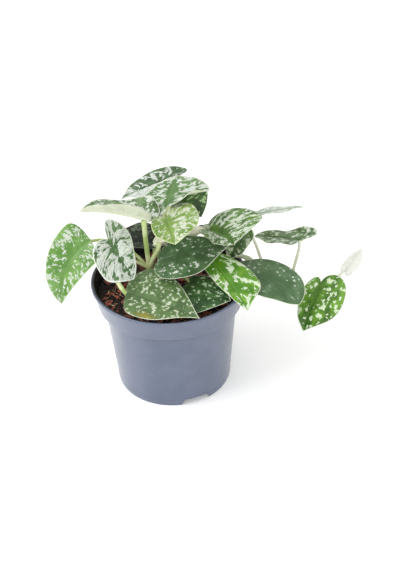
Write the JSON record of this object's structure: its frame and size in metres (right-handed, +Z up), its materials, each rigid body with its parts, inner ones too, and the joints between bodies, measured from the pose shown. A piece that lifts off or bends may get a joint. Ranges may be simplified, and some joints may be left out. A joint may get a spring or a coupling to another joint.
{
  "type": "potted satin pothos",
  "caption": "Small trailing plant with silver-splashed heart-shaped leaves on arching stalks, growing in a tapered nursery pot with a stepped collar.",
  "frame": {"origin": "centre of the flat pad under the pot, on the plane that the pot stands on", "axes": "+Z up, -Y towards the viewer of the picture and +X towards the picture's right"},
  "size_m": [0.2422, 0.1552, 0.1601],
  "materials": {
    "pot_plastic": "satin moulded plastic",
    "potting_mix": "loose dark mix with bark",
    "stem": "smooth fresh stalk",
    "leaf": "satin leaf with silver splashes"
  },
  "bodies": {
    "root": {"pot": "pot_plastic", "potting_mix": "potting_mix", "vine_left": "stem", "vine_crown": "stem", "vine_front": "stem", "vine_centre": "stem", "vine_right": "stem", "vine_back": "stem", "leaf_left_hanging": "leaf", "leaf_left_silver": "leaf", "leaf_left_folded": "leaf", "leaf_left_shaded": "leaf", "leaf_top_back": "leaf", "leaf_crown": "leaf", "leaf_crown_shaded": "leaf", "leaf_crown_young": "leaf", "leaf_crown_turned": "leaf", "leaf_right_folded": "leaf", "leaf_centre_dark": "leaf", "leaf_front_pale": "leaf", "leaf_front_dark": "leaf", "leaf_right_bright": "leaf", "leaf_right_plain": "leaf", "leaf_right_heart": "leaf", "leaf_right_level": "leaf", "leaf_right_slim": "leaf", "leaf_right_striped": "leaf", "leaf_right_pale": "leaf", "leaf_back_small": "leaf", "leaf_back_left": "leaf", "leaf_back_middle": "leaf", "leaf_back_right": "leaf", "leaf_back_low": "leaf"}
  },
  "joints": []
}
